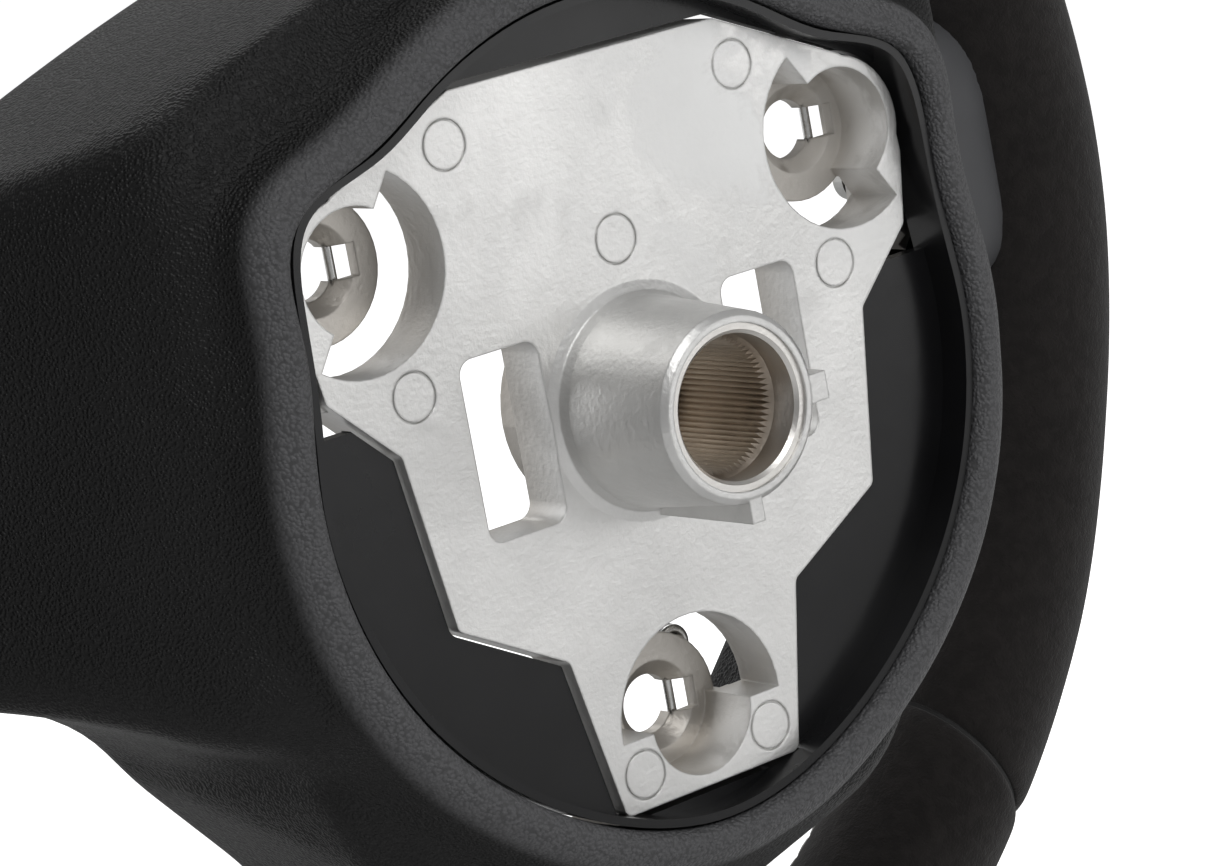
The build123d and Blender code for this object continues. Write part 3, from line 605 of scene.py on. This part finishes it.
# ---------------------------------------------------------------- settings that a user would change
class WheelFinish(bpy.types.PropertyGroup):
    """Colours of the wheel's finishes."""
    leather: bpy.props.FloatVectorProperty(
        name="Leather", description="Colour of the grained shell", size=3, subtype="COLOR", min=0, max=1,
        default=(0.0045, 0.0045, 0.0047))
    suede: bpy.props.FloatVectorProperty(
        name="Suede", description="Colour of the grip's suede", size=3, subtype="COLOR", min=0, max=1,
        default=(0.0125, 0.011, 0.0105))
    alloy: bpy.props.FloatVectorProperty(
        name="Alloy", description="Colour of the cast hub", size=3, subtype="COLOR", min=0, max=1,
        default=(0.84, 0.835, 0.82))
    trim: bpy.props.FloatVectorProperty(
        name="Trim", description="Colour of the spoke trims", size=3, subtype="COLOR", min=0, max=1,
        default=(0.075, 0.076, 0.080))


class WheelSizes(bpy.types.PropertyGroup):
    """Sizes of the wheel's soft and moulded pieces."""
    shell_wall: bpy.props.FloatProperty(
        name="Shell wall", description="Thickness of the shell's wall", subtype="DISTANCE", unit="LENGTH",
        default=2.6 * MM, min=1 * MM, max=4 * MM)
    suede: bpy.props.FloatProperty(
        name="Suede", description="Thickness of the suede", subtype="DISTANCE", unit="LENGTH",
        default=1.3 * MM, min=0.5 * MM, max=3 * MM)
    stitch_pitch: bpy.props.FloatProperty(
        name="Stitch pitch", description="Distance from one cross stitch to the next", subtype="DISTANCE",
        unit="LENGTH", default=4.6 * MM, min=3 * MM, max=10 * MM)


# ---------------------------------------------------------------- pieces
class WHEEL_OT_shell(bpy.types.Operator):
    """Makes the leather-grained rear shell and the rear halves of the spoke trims"""
    bl_idname = "wheel.shell"
    bl_label = "Shell and trims"

    def execute(self, context):
        sizes, finish = context.scene.wheel_sizes, context.scene.wheel_finish
        right = [shell_column(*row) for row in edge_rows()]
        left = [[(-x, y, z) for x, y, z in column] for column in reversed(right[1:-1])]
        whole = lofted("rear_shell_skin", right + left, True)
        face_outwards(whole, lambda centre: Vector((centre.x, 0.12, centre.z)))
        leather = leather_shell(finish.leather)
        grey = satin_plastic("satin grey plastic", finish.trim, 0.42)
        parting = {"left_trim": ((-SIDE_PARTING - PARTING_GAP, 0, 0), (-1, 0, 0)),
                   "right_trim": ((SIDE_PARTING + PARTING_GAP, 0, 0), (1, 0, 0)),
                   "lower_trim": ((0, 0, LOWER_PARTING - PARTING_GAP), (0, 0, -1))}
        for name, (place, normal) in parting.items():
            trim = whole.copy()
            trim.data = whole.data.copy()
            trim.name = trim.data.name = name + "_rear_skin"
            context.collection.objects.link(trim)
            cut_back(trim, place, normal, True)
            cut_back(trim, (0, TRIM_FRONT_Y, 0), (0, 1, 0), True)
            walled(trim, TRIM_WALL)
            smoothed(trim, 1)
            finished(trim, grey, [name + "_rear"])
        cut_back(whole, (SIDE_PARTING, 0, 0), (1, 0, 0), False)
        cut_back(whole, (-SIDE_PARTING, 0, 0), (-1, 0, 0), False)
        cut_back(whole, (0, 0, LOWER_PARTING), (0, 0, -1), False)
        walled(whole, sizes.shell_wall / MM)
        smoothed(whole, 1)
        finished(whole, leather, ["rear_shell"])
        for name in ("left", "right", "lower"):
            painted(name + "_trim_front", grey)
        return {"FINISHED"}


def seam_angle(edge, skew, section):
    """Where a skewed seam stands at a section angle, 0 outwards and 180 degrees inwards."""
    return edge + skew * (1 + math.cos(section)) / 2


def grip_radius(angle, section):
    """Radius of the grip's section at an angle round the rim and an angle round the section."""
    side = abs((angle + 90) % 360 - 180) - 90
    outer = max(math.cos(section), 0.0)
    inner = max(-math.cos(section), 0.0)
    rear = max(math.sin(section), 0.0)
    dip = math.exp(-((side - DIP_AT) / DIP_WIDTH) ** 2)
    thumb = math.exp(-((side - THUMB_AT) / THUMB_WIDTH) ** 2)
    radius = GRIP_R - 1.1 * dip * outer - 0.5 * dip * rear + 0.5 * thumb * (inner + rear)
    sewn = 180 + SEAM_TURN * min(max((side - 2) / 10, 0), 1)
    seam = (math.degrees(section) - sewn) / SEAM_WIDTH
    return radius - SEAM_DEPTH * math.exp(-seam * seam)


class WHEEL_OT_grip(bpy.types.Operator):
    """Makes the four suede covers of the rim, with turned-in edges at each seam"""
    bl_idname = "wheel.grip"
    bl_label = "Suede grip"

    def execute(self, context):
        sizes = context.scene.wheel_sizes
        suede = suede_cloth(context.scene.wheel_finish.suede)
        for name, (start, end, start_skew, end_skew) in PANELS.items():
            steps = round((end - start) / PANEL_STEP)
            shares = [0.0, 0.12, 0.45] + list(range(1, steps)) + [steps - 0.45, steps - 0.12, steps]
            tuck = {0.0: 1.5, 0.12: 0.75, 0.45: 0.12, steps - 0.45: 0.12, steps - 0.12: 0.75, steps: 1.5}
            columns = []
            for share in shares:
                column = []
                for k in range(SECTION_STEPS):
                    section = 2 * math.pi * k / SECTION_STEPS
                    first = seam_angle(start, start_skew, section) + PANEL_GAP
                    last = seam_angle(end, end_skew, section) - PANEL_GAP
                    angle = first + (last - first) * share / steps
                    a = math.radians(angle)
                    radius = grip_radius(angle, section) - tuck.get(share, 0.0)
                    spot = Vector((math.cos(a), math.sin(a), math.sin(section) * 0.4)) * 9
                    radius += 0.16 * noise.noise(spot) + 0.06 * noise.noise(spot * 4)
                    r = RIM_R + radius * math.cos(section)
                    column.append((r * math.cos(a), RIM_Y + radius * math.sin(section), r * math.sin(a)))
                column.append(column[0])
                columns.append(column)
            cover = lofted("suede_cover_" + name + "_skin", columns, False)
            edit(cover)
            bpy.ops.mesh.remove_doubles(threshold=1e-6)
            leave()

            def from_ring(centre):
                ring = Vector((centre.x, 0, centre.z)).normalized() * RIM_R * MM
                return centre - ring - Vector((0, RIM_Y * MM, 0))

            face_outwards(cover, from_ring)
            walled(cover, sizes.suede / MM)
            smoothed(cover, 1)
            finished(cover, suede, ["suede_cover_" + name])
        return {"FINISHED"}


class WHEEL_OT_stitches(bpy.types.Operator):
    """Sews the cross stitches along the inner side of the rim"""
    bl_idname = "wheel.stitches"
    bl_label = "Stitches"

    def execute(self, context):
        pitch = context.scene.wheel_sizes.stitch_pitch / MM
        rng = random.Random(7)
        bpy.ops.object.select_all(action="DESELECT")
        bpy.ops.mesh.primitive_cylinder_add(vertices=6, radius=THREAD_R * MM, depth=STROKE * MM,
                                            end_fill_type="TRIFAN", location=(0, 0, 0))
        stroke = context.active_object
        edit(stroke)
        bpy.ops.mesh.bisect(plane_co=(0, 0, 1.9 * MM), plane_no=(0, 0, 1))
        bpy.ops.mesh.select_all(action="SELECT")
        bpy.ops.mesh.bisect(plane_co=(0, 0, 0), plane_no=(0, 0, 1))
        bpy.ops.mesh.select_all(action="SELECT")
        bpy.ops.mesh.bisect(plane_co=(0, 0, -1.9 * MM), plane_no=(0, 0, 1))
        leave()
        for v in stroke.data.vertices:
            along = abs(v.co.z) / (2.8 * MM)
            v.co.x -= 1.1 * MM * max(along - 0.45, 0) ** 1.5
        sewn = bmesh.new()
        for start, end, section in STITCH_RUNS:
            sewn_at = math.radians(section)
            count = int(math.radians(end - start) * (RIM_R - GRIP_R) / pitch)
            for i in range(count + 1):
                angle = math.radians(start + (end - start) * i / count)
                from_axis = Vector((math.cos(angle), 0, math.sin(angle)))
                out = from_axis * math.cos(sewn_at) + Vector((0, math.sin(sewn_at), 0))
                round_rim = Vector((-math.sin(angle), 0, math.cos(angle)))
                across = round_rim.cross(out)
                ring = from_axis * RIM_R + Vector((0, RIM_Y, 0))
                for lean in (-1, 1):
                    turn = math.radians(lean * (STROKE_LEAN + rng.uniform(-3, 3)))
                    along = across * math.cos(turn) + round_rim * math.sin(turn)
                    side = along.cross(out)
                    spot = ring + out * (GRIP_R - 0.55 + (0.25 if lean > 0 else -0.25))
                    place = Matrix((
                        (out.x, side.x, along.x, spot.x * MM),
                        (out.y, side.y, along.y, spot.y * MM),
                        (out.z, side.z, along.z, spot.z * MM),
                        (0, 0, 0, 1)))
                    piece = stroke.data.copy()
                    piece.transform(place)
                    sewn.from_mesh(piece)
                    bpy.data.meshes.remove(piece)
        bmesh.ops.recalc_face_normals(sewn, faces=sewn.faces)
        sewn.to_mesh(stroke.data)
        sewn.free()
        stroke.name = stroke.data.name = "rim_cross_stitches"
        only(stroke)
        bpy.ops.object.shade_smooth()
        finished(stroke, thread_material(), ["rim_stitching"])
        return {"FINISHED"}


class WHEEL_OT_casting(bpy.types.Operator):
    """Gives the cast hub its as-cast skin and soft edges"""
    bl_idname = "wheel.casting"
    bl_label = "Cast hub"

    def execute(self, context):
        painted("hub_armature", cast_alloy(context.scene.wheel_finish.alloy))
        return {"FINISHED"}


class WHEEL_OT_fittings(bpy.types.Operator):
    """Finishes the liner, the splined sleeve, the latch springs, the ring and the screws"""
    bl_idname = "wheel.fittings"
    bl_label = "Liner and fittings"

    def execute(self, context):
        painted("hub_liner", liner_plastic())
        painted("splined_sleeve", splined_steel())
        painted("rim_core_tube", worn_steel("mill steel", (0.12, 0.12, 0.12), 0.5))
        painted("rim_foam", satin_plastic("rim foam", (0.03, 0.03, 0.03), 0.9, 0.0002))
        bright = worn_steel("bright steel", (0.62, 0.62, 0.61), 0.25, (0.4, 0.38, 0.35), 0.2)
        for name in ("left_latch_spring", "right_latch_spring", "lower_latch_spring", "latch_clips"):
            painted(name, bright)
        zinc = worn_steel("zinc-plated steel", (0.48, 0.48, 0.47), 0.35, (0.36, 0.34, 0.27), 0.3)
        painted("shell_screws", zinc)
        painted("trim_screws", zinc)
        return {"FINISHED"}


def area_light(name, place, target, size, power):
    bpy.ops.object.light_add(type="AREA", location=place)
    lamp = bpy.context.active_object
    lamp.name = name
    lamp.data.shape = "SQUARE"
    lamp.data.size = size
    lamp.data.energy = power
    lamp.rotation_euler = (Vector(target) - Vector(place)).to_track_quat("-Z", "Y").to_euler()


class WHEEL_OT_stage(bpy.types.Operator):
    """Sets the pale floor, the soft lights and the camera"""
    bl_idname = "wheel.stage"
    bl_label = "Stage"

    def execute(self, context):
        bpy.ops.object.select_all(action="DESELECT")
        bpy.ops.mesh.primitive_plane_add(size=30, location=(0, 0, CAD_LOW.z - 0.0015))
        floor = context.active_object
        floor.name = floor.data.name = "studio_floor"
        bpy.ops.object.transform_apply(location=True, rotation=True, scale=True)
        material, tree, shader, place = material_start("pale floor")
        shade = node(tree, "ShaderNodeTexNoise", {"Vector": place, "Scale": 3.0})
        tree.links.new(colour_mix(tree, shade.outputs["Fac"], (0.90, 0.90, 0.90), (0.93, 0.93, 0.93)),
                       shader.inputs["Base Color"])
        shader.inputs["Roughness"].default_value = 0.85
        shader.inputs["Emission Color"].default_value = (1, 1, 1, 1)
        looked_at = tree.nodes.new("ShaderNodeLightPath").outputs["Is Camera Ray"]
        tree.links.new(value_between(tree, looked_at, 0.0, 0.85), shader.inputs["Emission Strength"])
        floor.data.materials.append(material)

        world = bpy.data.worlds.new("Studio")
        context.scene.world = world
        world.use_nodes = True
        tree = world.node_tree
        back = tree.nodes["Background"]
        back.inputs["Color"].default_value = (1, 1, 1, 1)
        seen = tree.nodes.new("ShaderNodeLightPath").outputs["Is Camera Ray"]
        tree.links.new(value_between(tree, seen, 0.22, 1.0), back.inputs["Strength"])

        centre = (0.0, -0.02, 0.0)
        area_light("key", (0.25, 0.95, 1.05), centre, 0.8, 8)
        area_light("mirror_fill", (-0.85, 1.1, -0.02), centre, 0.9, 4)
        area_light("rim_light", (-0.5, -0.7, 0.9), centre, 0.8, 4)
        area_light("front_fill", (0.4, -1.1, 0.3), centre, 1.2, 4)

        bpy.ops.object.camera_add()
        camera = context.active_object
        camera.name = "camera"
        right = Vector(CAMERA_RIGHT).normalized()
        back_way = Vector(CAMERA_BACK).normalized()
        up = back_way.cross(right)
        turn = Matrix((right, up, back_way)).transposed()
        camera.matrix_world = Matrix.Translation(CAMERA_PLACE) @ turn.to_4x4()
        camera.data.lens = CAMERA_LENS
        camera.data.sensor_width = 36.0
        camera.data.clip_start = 0.01
        camera.data.clip_end = 100
        context.scene.camera = camera
        context.scene.view_settings.view_transform = "Standard"
        return {"FINISHED"}


STEPS = (WHEEL_OT_stage, WHEEL_OT_shell, WHEEL_OT_grip, WHEEL_OT_stitches, WHEEL_OT_casting,
         WHEEL_OT_fittings)


class WHEEL_PT_panel(bpy.types.Panel):
    """Lists the wheel's settings and pieces"""
    bl_idname = "WHEEL_PT_panel"
    bl_label = "Steering wheel"
    bl_space_type = "VIEW_3D"
    bl_region_type = "UI"
    bl_category = "Wheel"

    def draw(self, context):
        for group in (context.scene.wheel_sizes, context.scene.wheel_finish):
            box = self.layout.box()
            for name in group.__annotations__:
                box.prop(group, name)
        for step in STEPS:
            self.layout.operator(step.bl_idname)


CLASSES = (WheelSizes, WheelFinish, *STEPS, WHEEL_PT_panel)


def register():
    for cls in CLASSES:
        bpy.utils.register_class(cls)
    bpy.types.Scene.wheel_sizes = bpy.props.PointerProperty(type=WheelSizes)
    bpy.types.Scene.wheel_finish = bpy.props.PointerProperty(type=WheelFinish)


def unregister():
    del bpy.types.Scene.wheel_finish
    del bpy.types.Scene.wheel_sizes
    for cls in reversed(CLASSES):
        bpy.utils.unregister_class(cls)


def main():
    register()
    grain_group()
    patch_group()
    bpy.ops.wheel.stage()
    bpy.ops.wheel.shell()
    bpy.ops.wheel.grip()
    bpy.ops.wheel.stitches()
    bpy.ops.wheel.casting()
    bpy.ops.wheel.fittings()


if __name__ == "__main__":
    main()
